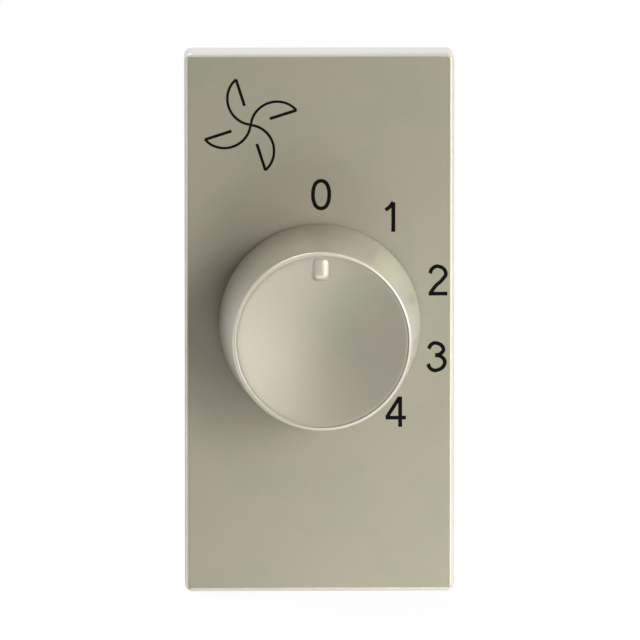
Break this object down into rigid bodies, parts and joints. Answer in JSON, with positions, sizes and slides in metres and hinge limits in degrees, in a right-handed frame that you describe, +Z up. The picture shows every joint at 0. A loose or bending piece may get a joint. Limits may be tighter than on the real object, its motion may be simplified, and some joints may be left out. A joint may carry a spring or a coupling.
{
  "type": "fan speed control switch",
  "caption": "One-module snap-in wall switch with a dished rotary knob that steps a ceiling fan through its speeds, with rear screw terminals.",
  "frame": {"origin": "on the knob's axis, in the plane of the cover's rear rim that seats on the mounting frame", "axes": "+X right for a person facing the switch, +Y into the wall, +Z up; the front face looks along -Y"},
  "size_m": [0.0222, 0.0425, 0.045],
  "materials": {
    "cover_paint": "satin pearl silver paint",
    "knob_paint": "satin pearl silver paint",
    "housing_plastic": "fine spark texture",
    "board_laminate": "satin",
    "contact_copper": "satin",
    "spring_steel": "satin",
    "capacitor_case": "gloss",
    "resistor_body": "satin",
    "rotor_plastic": "satin",
    "bush_plastic": "satin",
    "terminal_brass": "satin",
    "screw_steel": "zinc plated"
  },
  "bodies": {
    "switch_body": {"front_cover": "cover_paint", "rear_housing": "housing_plastic", "circuit_board": "board_laminate", "rotor_bearing": "bush_plastic", "common_contact": "contact_copper", "speed_contacts": "contact_copper", "detent_spring": "spring_steel", "capacitor_large": "capacitor_case", "capacitor_small": "capacitor_case", "surge_resistor_upper": "resistor_body", "surge_resistor_lower": "resistor_body", "bleed_resistor_upper": "resistor_body", "bleed_resistor_lower": "resistor_body", "board_screws": "screw_steel", "terminal_cage_supply": "terminal_brass", "terminal_cage_fan": "terminal_brass", "terminal_screw_supply": "screw_steel", "terminal_screw_fan": "screw_steel", "terminal_strip_supply": "terminal_brass", "terminal_strip_fan": "terminal_brass"},
    "selector": {"knob": "knob_paint", "knob_grip_spring": "spring_steel", "rotor": "rotor_plastic", "wiper_contact": "contact_copper"}
  },
  "joints": [
    {"name": "speed_select", "type": "hinge", "parent": "switch_body", "child": "selector", "pos_m": [0, 0, 0], "axis": [0, 1, 0], "range_deg": [0, 140], "deforming": ["detent_spring"]}
  ]
}
